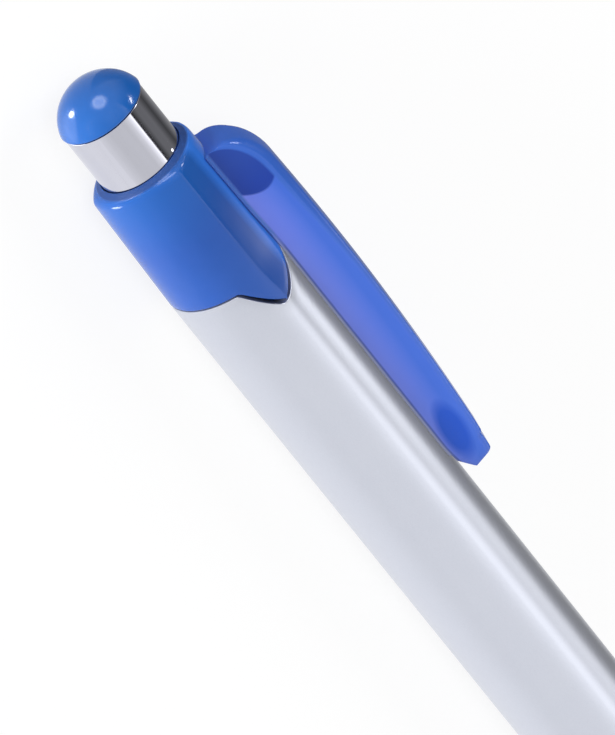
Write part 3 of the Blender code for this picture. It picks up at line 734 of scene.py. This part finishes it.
def clip_top(station):
    """Height of the clip's back over the barrel face: a rounded shoulder, then the arch."""
    past = station - CLIP_START
    if past > CLIP_SHOULDER:
        return clip_arch(station)
    lean = 1 - past / CLIP_SHOULDER
    rise = math.sqrt(max(1 - lean**2, 0))
    full = clip_arch(CLIP_START + CLIP_SHOULDER)
    return CLIP_ROOT_HEIGHT + (full - CLIP_ROOT_HEIGHT) * rise


def clip_width(station):
    """Width of the clip, which narrows evenly to its end."""
    share = (station - CLIP_START) / CLIP_LENGTH
    return CLIP_ROOT_WIDTH + (CLIP_END_WIDTH - CLIP_ROOT_WIDTH) * share


def clip_foot(station):
    """Height of the clip's sole, how far its sides reach down from it, and its seated share."""
    seated = 1 - smooth(station, CLIP_SEATED_TO, CLIP_FREE_FROM)
    face = housing_face(station)
    radius = face_arc(face, RIDGE_RADIUS)[1]
    reach = radius - math.sqrt(radius**2 - (clip_width(station) / 2) ** 2)
    sole = (face + CLIP_SOLE_GAP) * seated + (FACE_DISTANCE + CLIP_OVER_BARREL) * (1 - seated)
    reach *= 1 - smooth(station, CLIP_END - CLIP_REACH_FADE, CLIP_END)
    return sole, reach, seated


def clip_section(half, low, high, edge, reach=0.0, flare=0.0):
    """Half section of the clip as (across, height) points from mid sole to mid back."""
    corner = 0.08 * MM
    sole_steps = 4
    side_steps = 10
    back_steps = FILLET_STEPS + 3
    points = [
        ((half + flare - corner) * step / sole_steps, low - reach * (step / sole_steps) ** 2)
        for step in range(sole_steps)
    ]
    for along, away in quarter(FILLET_STEPS):
        points.append((half + flare - corner + corner * along, low - reach + corner * away))
    for along, away in quarter(FILLET_STEPS, 1):
        rise = corner + (flare + corner) * away
        points.append((half + flare - flare * along, low - reach + rise))
    foot = points[-1][1]
    for step in range(1, side_steps):
        points.append((half, foot + (high - edge - foot) * step / side_steps))
    for along, away in quarter(back_steps):
        points.append((half - edge * away, high - edge + edge * along))
    points.append((0, high))
    return points


def clip_ring(station, points, end=None):
    """Full section in the pen's frame; end may give a point's station by its height."""
    side = Vector((-CLIP_OUT.y, CLIP_OUT.x))
    mirrored = [(-across, height) for across, height in reversed(points[1:-1])]
    ring = []
    for across, height in points + mirrored:
        spot = CLIP_OUT * height + side * across
        ring.append(at(end(height) if end else station, spot.x, spot.y))
    return ring


def clip_outline(station):
    """Section of the clip at a station."""
    low, reach, seated = clip_foot(station)
    high = FACE_DISTANCE + clip_top(station)
    eased = smooth(station, *CLIP_EDGE_EASE)
    rounding = CLIP_ROOT_EDGE + (CLIP_EDGE - CLIP_ROOT_EDGE) * eased
    edge = min(rounding, (high - low) * CLIP_EDGE_SHARE)
    return clip_section(clip_width(station) / 2, low, high, edge, reach, CLIP_FLARE * seated)


def add_clip(material):
    """Clip with a rounded shoulder and a blunt end, hollowed out below."""
    shoulder_steps, run_steps, end_steps = 24, 60, 8
    nose_start = CLIP_END - 2.3 * MM
    stations = []
    for step in range(shoulder_steps + 1):
        turn = math.pi / 2 * step / shoulder_steps
        stations.append(CLIP_START + CLIP_SHOULDER * (1 - math.cos(turn)))
    run_start = stations[-1]
    run = nose_start - run_start
    stations += [run_start + run * (step + 1) / run_steps for step in range(run_steps)]
    rings = [clip_ring(station, clip_outline(station)) for station in stations]

    low = clip_foot(CLIP_END)[0]
    high = FACE_DISTANCE + clip_top(CLIP_END)
    knee = low + 1.0 * MM
    sole_slope, back_slope = 1.5 * MM, 0.5 * MM
    end_rounding = 0.2 * MM

    def end_station(height):
        if height < knee:
            return CLIP_END - sole_slope * (knee - height) / (knee - low)
        return CLIP_END - back_slope * (height - knee) / (high - knee)

    for step in range(1, end_steps + 1):
        share = step / end_steps
        inset = end_rounding * (1 - math.sqrt(1 - share**2))
        half = clip_width(CLIP_END) / 2 - inset
        points = clip_section(half, low + inset / 3, high - inset / 3, CLIP_EDGE)

        def closing(height):
            return nose_start + (end_station(height) - nose_start) * share
        rings.append(clip_ring(0, points, closing))
    body = make_piece("clip_body", skin(rings, False), material, "clip", "clip_blue", "clip")
    hollow_out(body)
    # The barrel's satin paint shows no image of the clip
    body.visible_glossy = False
    below_back = []
    over_sole = []
    for vertex in body.data.vertices:
        station = min(max(vertex.co.x - RIM_X, CLIP_START), CLIP_END)
        height = vertex.co.y * CLIP_OUT.x + (vertex.co.z - AXIS_Z) * CLIP_OUT.y
        sole, reach = clip_foot(station)[:2]
        below_back.append((FACE_DISTANCE + clip_top(station) - height) / MM)
        over_sole.append((height - sole + reach) / MM)
    for name, values in (("below_back", below_back), ("over_sole", over_sole)):
        body.data.attributes.new(name, "FLOAT", "POINT").data.foreach_set("value", values)


def hollow_out(body):
    """Cuts the channel out of the clip between its root pillar and its bump."""
    steps = 24
    hollow_start = CLIP_START + CLIP_PILLAR
    hollow_end = CLIP_END - CLIP_BUMP
    hollow_low = FACE_DISTANCE - 1 * MM
    hollow_edge = 0.3 * MM
    rings = []
    for step in range(steps + 1):
        station = hollow_start + (hollow_end - hollow_start) * step / steps
        thinned = min((station - hollow_start) / CLIP_BAND_RUN, 1)
        band = CLIP_ROOT_BAND + (CLIP_BAND - CLIP_ROOT_BAND) * thinned
        high = FACE_DISTANCE + clip_top(station) - band
        half = clip_width(station) / 2 - CLIP_SIDE
        rings.append(clip_ring(station, clip_section(half, hollow_low, high, hollow_edge)))
    bm = skin(rings, False)
    bmesh.ops.recalc_face_normals(bm, faces=bm.faces)
    mesh = bpy.data.meshes.new("hollow")
    bm.to_mesh(mesh)
    bm.free()
    cutter = bpy.data.objects.new("hollow", mesh)
    bpy.context.scene.collection.objects.link(cutter)
    cut = body.modifiers.new("hollow", "BOOLEAN")
    cut.operation = "DIFFERENCE"
    cut.object = cutter
    bpy.context.view_layer.update()
    graph = bpy.context.evaluated_depsgraph_get()
    cleared = bpy.data.meshes.new_from_object(body.evaluated_get(graph))
    body.modifiers.clear()
    body.data = cleared
    bpy.data.objects.remove(cutter)
    cleared.shade_smooth()
    cleared.set_sharp_from_angle(angle=CLIP_SHARP_ANGLE)


def add_grip(material):
    """Rubber sleeve with shallow rings, from the barrel's section to the nose's round."""
    length = GRIP_END - GRIP_START
    grooves = 7
    pitch = 3.6 * MM
    width = 1.6 * MM
    depth = 0.3 * MM
    groove_steps = 12
    first = (length - pitch * (grooves - 1)) / 2
    fillet = 0.35 * MM

    def outer(station, sunk):
        share = (station - GRIP_START) / length
        rear = triangle_ring(station, FACE_DISTANCE - sunk)
        return blend_rings(rear, circle(station, GRIP_FRONT - sunk), share)

    rings = []
    for along, away in quarter(FILLET_STEPS):
        rings.append(outer(GRIP_START + fillet * away, fillet - fillet * along))
    for groove in range(grooves):
        middle = GRIP_START + first + pitch * groove
        for step in range(groove_steps + 1):
            share = step / groove_steps - 0.5
            rings.append(outer(middle + width * share, depth * math.cos(math.pi * share) ** 2))
    for along, away in reversed(quarter(FILLET_STEPS)):
        rings.append(outer(GRIP_END - fillet * away, fillet - fillet * along))
    rings += [circle(GRIP_END, GRIP_BORE), circle(GRIP_START, GRIP_BORE)]
    sleeve = skin(rings, True)
    make_piece("grip_rubber_sleeve", sleeve, material, "body", "grip_rubber", "grip_sleeve")


def add_nose(material):
    """Nose with a short collar, a slightly rounded cone and the spring's chamber."""
    cone_steps = 40
    cone_share = 0.985
    cone_power = 1.25
    end_edge = 0.1 * MM
    collar = 1.6 * MM
    end_radius = 1.66 * MM
    tip_bore = 1.16 * MM
    chamber = 1.85 * MM
    fillet = 0.12 * MM
    chamber_end = NOSE_END - 3 * MM
    thread_end = NECK_END + 0.3 * MM
    cone = NOSE_END - NOSE_START - collar
    profile = [(NOSE_START, GRIP_BORE)]
    for along, away in quarter(FILLET_STEPS):
        profile.append((NOSE_START + fillet * away, GRIP_FRONT - fillet + fillet * along))
    profile.append((NOSE_START + collar, GRIP_FRONT))
    for step in range(1, cone_steps + 1):
        share = step / cone_steps * cone_share
        radius = GRIP_FRONT + (end_radius - GRIP_FRONT) * share**cone_power
        profile.append((NOSE_START + collar + cone * share, radius))
    profile += [
        (NOSE_END, end_radius - end_edge), (NOSE_END, tip_bore), (chamber_end, tip_bore),
        (chamber_end, chamber), (thread_end, chamber), (thread_end, GRIP_BORE),
    ]
    make_piece("nose_tip", turned(profile, True), material, "nose", "nose_chrome", "nose_cone")


def add_spring(material):
    """Copy of the CAD coil, riding on the body in place of its CAD node."""
    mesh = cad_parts["return_spring"].data.copy()
    mesh.materials.clear()
    mesh.materials.append(material)
    coil = bpy.data.objects.new("spring_coil", mesh)
    bpy.context.scene.collection.objects.link(coil)
    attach(coil, "body")
    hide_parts("return_spring")
    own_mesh(coil)


def finish_node(name, material):
    """Gives a CAD node that stays a procedural finish."""
    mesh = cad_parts[name].data
    mesh.materials.clear()
    mesh.materials.append(material)


# Stage
def seen_rays(tree):
    """One for rays from the camera and for those seen in metal or through clear plastic."""
    path = tree.nodes.new("ShaderNodeLightPath")
    total = path.outputs["Is Camera Ray"]
    for name in ("Is Glossy Ray", "Is Transmission Ray"):
        total = calculate(tree, "MAXIMUM", total, path.outputs[name])
    return total


def show_surface(tree, shader):
    """Makes a shader the surface of its material."""
    tree.links.new(shader.outputs[0], tree.nodes["Material Output"].inputs["Surface"])


def mix_shaders(tree, factor, first, second):
    """Shader between two shaders by a factor socket."""
    mix = tree.nodes.new("ShaderNodeMixShader")
    tree.links.new(factor, mix.inputs["Fac"])
    tree.links.new(first.outputs[0], mix.inputs[1])
    tree.links.new(second.outputs[0], mix.inputs[2])
    return mix


def stage_object(name, bm, material):
    """Object from a bmesh, not yet in the scene."""
    mesh = bpy.data.meshes.new(name)
    bm.to_mesh(mesh)
    bm.free()
    mesh.materials.append(material)
    return bpy.data.objects.new(name, mesh)


def add_floor():
    """White floor: it glows where it is seen, and its lit share keeps the pen's shadow."""
    grey = 0.86
    half_size = 6.0
    glow_share = 0.75
    glow_strength = 1.10
    below = 0.02 * MM
    material, tree, shader = new_material("floor_white")
    shader.inputs["Base Color"].default_value = (grey, grey, grey, 1)
    shader.inputs["Roughness"].default_value = 0.9
    shader.inputs["Specular IOR Level"].default_value = 0.0
    glow = tree.nodes.new("ShaderNodeEmission")
    glow.inputs["Color"].default_value = (1, 1, 1, 1)
    glow.inputs["Strength"].default_value = glow_strength
    share = calculate(tree, "MULTIPLY", seen_rays(tree), glow_share)
    show_surface(tree, mix_shaders(tree, share, shader, glow))
    bm = bmesh.new()
    bmesh.ops.create_grid(bm, x_segments=1, y_segments=1, size=half_size)
    floor = stage_object("floor", bm, material)
    floor.location = (0, 0, CAD_BOX[0].z - below)
    bpy.context.scene.collection.objects.link(floor)


def light_world():
    """Even white surroundings that light the pen less than they show."""
    lighting = 0.36
    world = bpy.data.worlds.new("studio")
    bpy.context.scene.world = world
    world.use_nodes = True
    tree = world.node_tree
    background = tree.nodes["Background"]
    background.inputs["Color"].default_value = (1, 1, 1, 1)
    strength = spread(tree, seen_rays(tree), lighting, 1.0, 0, 1)
    tree.links.new(strength, background.inputs["Strength"])


def area_light(name, place_at, size, power, aim=(-0.03, 0, 0.004)):
    """Soft lamp that leaves no shape of its own in the gloss."""
    data = bpy.data.lights.new(name, "AREA")
    data.shape = "RECTANGLE"
    data.size, data.size_y = size
    data.energy = power
    lamp = bpy.data.objects.new(name, data)
    lamp.location = place_at
    lamp.visible_camera = False
    lamp.visible_glossy = False
    direction = Vector(aim) - Vector(place_at)
    lamp.rotation_euler = direction.to_track_quat("-Z", "Y").to_euler()
    bpy.context.scene.collection.objects.link(lamp)


def brightness_ramp(tree, source, stops):
    """Brightness that runs through (position, brightness) stops."""
    ramp = tree.nodes.new("ShaderNodeValToRGB")
    elements = ramp.color_ramp.elements
    while len(elements) < len(stops):
        elements.new(0.5)
    for element, (position, value) in zip(elements, stops):
        element.position = position
        element.color = (value, value, value, 1)
    tree.links.new(source, ramp.inputs["Fac"])
    return ramp.outputs["Color"]


def show_in_gloss(screen):
    """Stands a screen on the stage that only reflections see."""
    screen.visible_camera = False
    screen.visible_shadow = False
    screen.visible_diffuse = False
    screen.visible_transmission = False
    bpy.context.scene.collection.objects.link(screen)


def add_tent():
    """Studio screen along the clip's side, seen only in reflections: dark with light strips."""
    radius = 45 * MM
    first_angle = -90.0
    turn = 250.0
    ends = (-0.110, 0.160)
    near = 6 * MM
    above_floor = 0.05 * MM
    top_angle = math.radians(160)
    steps = 40
    open_from, open_to = -0.105 - RIM_X, -0.078 - RIM_X
    button_from, button_to = -0.036 - RIM_X, -0.028 - RIM_X
    lobe_from, lobe_to = -0.020 - RIM_X, 0.002 - RIM_X
    material, tree, _ = new_material("tent_screen")
    station, y, height = pen_position(tree)
    angle = calculate(tree, "ARCTAN2", height, y)
    low, high = math.radians(first_angle), math.radians(first_angle + turn)
    share = spread(tree, angle, 0, 1, low, high)

    def screen_ramp(*stops):
        """Brightness by the angle in degrees round the pen's axis."""
        placed = [((degrees - first_angle) / turn, value) for degrees, value in stops]
        return brightness_ramp(tree, share, placed)

    by_button = screen_ramp(
        (-60, 0.35), (-24, 0.33), (-4, 0.12), (6, 0.07), (14, 0.10), (29, 0.19), (48, 0.18),
        (57, 0.10), (63, 0.03), (65.5, 0.03), (67, 1.9), (71, 1.35), (80, 0.92), (92, 0.77),
        (135, 0.77), (160, 0.93),
    )
    by_lobe = screen_ramp(
        (-60, 0.80), (-24, 0.70), (-19, 0.50), (-14, 0.14), (11, 0.13), (16, 2.40), (27, 2.40),
        (33, 1.08), (54, 1.08), (66, 1.45), (76, 1.75), (94, 1.75), (108, 1.22), (125, 1.16),
        (160, 1.10),
    )
    by_barrel = screen_ramp(
        (-60, 0.80), (-24, 0.70), (-19, 0.50), (-14, 0.14), (11, 0.13), (17, 1.60), (27, 1.60),
        (33, 1.25), (46, 1.28), (60, 1.58), (74, 1.86), (94, 1.86), (108, 1.22), (125, 1.16),
        (160, 1.10),
    )
    past_lobe = spread(tree, station, 0, 1, lobe_from, lobe_to)
    by_barrel = mix_colours(tree, past_lobe, by_lobe, by_barrel)
    past_button = spread(tree, station, 0, 1, button_from, button_to)
    screen = mix_colours(tree, past_button, by_button, by_barrel)
    open_end = spread(tree, station, 1, 0, open_from, open_to)
    screen = mix_colours(tree, open_end, screen, (1.0, 1.0, 1.0))
    glow = tree.nodes.new("ShaderNodeEmission")
    tree.links.new(screen, glow.inputs["Color"])
    show_surface(tree, glow)

    floor_angle = -math.asin((AXIS_Z - above_floor) / radius)
    outline = [(near, above_floor)]
    for step in range(steps + 1):
        angle = floor_angle + (top_angle - floor_angle) * step / steps
        outline.append((radius * math.cos(angle), AXIS_Z + radius * math.sin(angle)))
    bm = bmesh.new()
    rows = [[bm.verts.new((x, y, z)) for y, z in outline] for x in ends]
    for index in range(len(outline) - 1):
        bm.faces.new((rows[0][index], rows[1][index], rows[1][index + 1], rows[0][index + 1]))
    show_in_gloss(stage_object("tent", bm, material))


def add_card(name, spot, aim, radius, brightness, core=1.0, narrowed=1.0, roll=0.0):
    """Round or oval reflector with soft edges; spot, aim and radius are in millimetres."""
    sides = 48
    rim_dimmed = 0.3
    material, tree, _ = new_material(name)
    length = tree.nodes.new("ShaderNodeVectorMath")
    length.operation = "LENGTH"
    tree.links.new(object_coordinates(tree), length.inputs[0])
    share = spread(tree, length.outputs["Value"], 0, 1, 0, radius * MM)
    glow = tree.nodes.new("ShaderNodeEmission")
    stops = ((0, core), (0.4, core), (0.6, 1.0), (1.0, rim_dimmed))
    stops = [(position, brightness * part) for position, part in stops]
    tree.links.new(brightness_ramp(tree, share, stops), glow.inputs["Color"])
    clear = tree.nodes.new("ShaderNodeBsdfTransparent")
    fade = spread(tree, share, 0, 1, 0.5, 1.0)
    show_surface(tree, mix_shaders(tree, fade, glow, clear))
    bm = bmesh.new()
    bmesh.ops.create_circle(bm, cap_ends=True, segments=sides, radius=radius * MM)
    card = stage_object(name, bm, material)
    card.location = at(*(value * MM for value in spot))
    towards = (card.location - at(*(value * MM for value in aim))).normalized()
    rolled = Matrix.Rotation(math.radians(roll), 3, "Z")
    turn = towards.to_track_quat("Z", "Y").to_matrix() @ rolled
    card.rotation_euler = turn.to_euler()
    card.scale = (narrowed, 1 / narrowed, 1)
    show_in_gloss(card)


def add_camera():
    """Camera whose picture puts the rim and the pen's axis where the photograph has them."""
    side = Vector((0, math.cos(VIEW_TURN), math.sin(VIEW_TURN)))
    back = Vector((-math.sin(TILT), 0, 0)) + side * math.cos(TILT)
    along = (Vector((1, 0, 0)) - back * back.x).normalized()
    across = back.cross(along)
    right = along * math.cos(AXIS_SLOPE) + across * math.sin(AXIS_SLOPE)
    up = across * math.cos(AXIS_SLOPE) - along * math.sin(AXIS_SLOPE)
    off_x = (RIM_PIXEL[0] - IMAGE_WIDTH / 2) / PIXELS_PER_METRE
    off_y = (IMAGE_HEIGHT / 2 - RIM_PIXEL[1]) / PIXELS_PER_METRE
    data = bpy.data.cameras.new("camera")
    data.sensor_width = SENSOR
    data.lens = PIXELS_PER_METRE * CAMERA_DISTANCE * SENSOR / IMAGE_HEIGHT
    data.clip_start = 0.05
    camera = bpy.data.objects.new("camera", data)
    turn = Matrix((right, up, back)).transposed().to_4x4()
    spot = at(0, 0, 0) + back * CAMERA_DISTANCE - right * off_x - up * off_y
    camera.matrix_world = Matrix.Translation(spot) @ turn
    bpy.context.scene.collection.objects.link(camera)
    bpy.context.scene.camera = camera


def add_shell():
    """The pieces that show, each in place of its CAD node."""
    dome_deep, dome_light = (0.009, 0.122, 0.485), (0.012, 0.132, 0.510)
    add_dome(moulded_plastic("dome_blue", dome_deep, dome_light, 0.12))
    add_sleeve(bright_metal("sleeve_chrome", (0.65, 0.655, 0.735), 0.05, shade=0.97))
    add_housing(housing_plastic())
    add_clip(clip_plastic())
    add_barrel(silver_paint())
    add_grip(rubber())
    add_nose(bright_metal("nose_chrome", (0.60, 0.605, 0.64), 0.10, shade=0.9))


def finish_inside():
    """Finishes of the mechanism and the refill."""
    turned_marks = (1.0, 0.12, 0.12)
    for node, slot, deep, light, roughness in (
        ("thrust_cam", "cam_white", (0.78, 0.79, 0.80), (0.82, 0.83, 0.84), 0.35),
        ("rotor_cam", "rotor_grey", (0.50, 0.52, 0.55), (0.56, 0.58, 0.61), 0.35),
        ("cam_guide", "guide_white", (0.74, 0.75, 0.76), (0.79, 0.80, 0.81), 0.40),
        ("refill_tube", "tube_clear", (0.66, 0.70, 0.76), (0.72, 0.76, 0.82), 0.22),
        ("ink_column", "ink_blue", (0.008, 0.015, 0.16), (0.012, 0.022, 0.20), 0.25),
    ):
        finish_node(node, moulded_plastic(slot, deep, light, roughness))
    add_spring(bright_metal("spring_steel", (0.60, 0.60, 0.61), 0.22))
    for node, slot, colour, roughness, marks in (
        ("tip_holder", "holder_brass", (0.72, 0.54, 0.25), 0.20, turned_marks),
        ("tip_cone", "tip_nickel", (0.68, 0.67, 0.64), 0.18, turned_marks),
        ("writing_ball", "ball_carbide", (0.42, 0.42, 0.44), 0.12, None),
    ):
        finish_node(node, bright_metal(slot, colour, roughness, marks))


def light_stage():
    """Floor, surroundings, lamps, and the screens that give the gloss its highlights."""
    add_floor()
    light_world()
    area_light("key", (-0.45, -0.75, 0.16), (0.5, 0.30), 4.8)
    area_light("top", (-0.35, -0.15, 0.75), (0.4, 0.4), 1.7)
    area_light("right_fill", (-0.05, 0.50, 0.40), (0.3, 0.3), 1.05)
    area_light("bounce", (0, -0.018, 0.0004), (0.16, 0.02), 0.02, (0, -0.018, 1))
    add_tent()
    table = -AXIS_Z / MM
    low_spot, left_spot = (-12.5, -6.2), (-9.8, -9.6)
    up = 20
    add_card("rear_card", (-73.0, -0.9, 26.0), (-7.1, -0.8, 2.4), 26.0, 10.0, core=0.6)
    add_card(
        "low_card", (*low_spot, table + 0.10), (*low_spot, up), 1.9, 40.0, narrowed=0.72, roll=58,
    )
    add_card("left_card", (*left_spot, table + 0.05), (*left_spot, up), 8.0, 2.6)
    add_card("right_card", (-8.84, 23.8, 22.5), (-7, 0, 0), 3.2, 32.0, narrowed=0.5, roll=34.7)
    add_card("shoulder_card", (0.95, -4.79, 0.29), (0.95, 0, 0), 0.34, 14.0, narrowed=0.45)
    add_card("mouth_card", (-0.1, 1.21, 3.50), (-0.1, 0, 0), 0.16, 4.0)


def main():
    add_shell()
    finish_inside()
    light_stage()
    add_camera()
    bpy.context.scene.view_settings.view_transform = "Standard"


main()
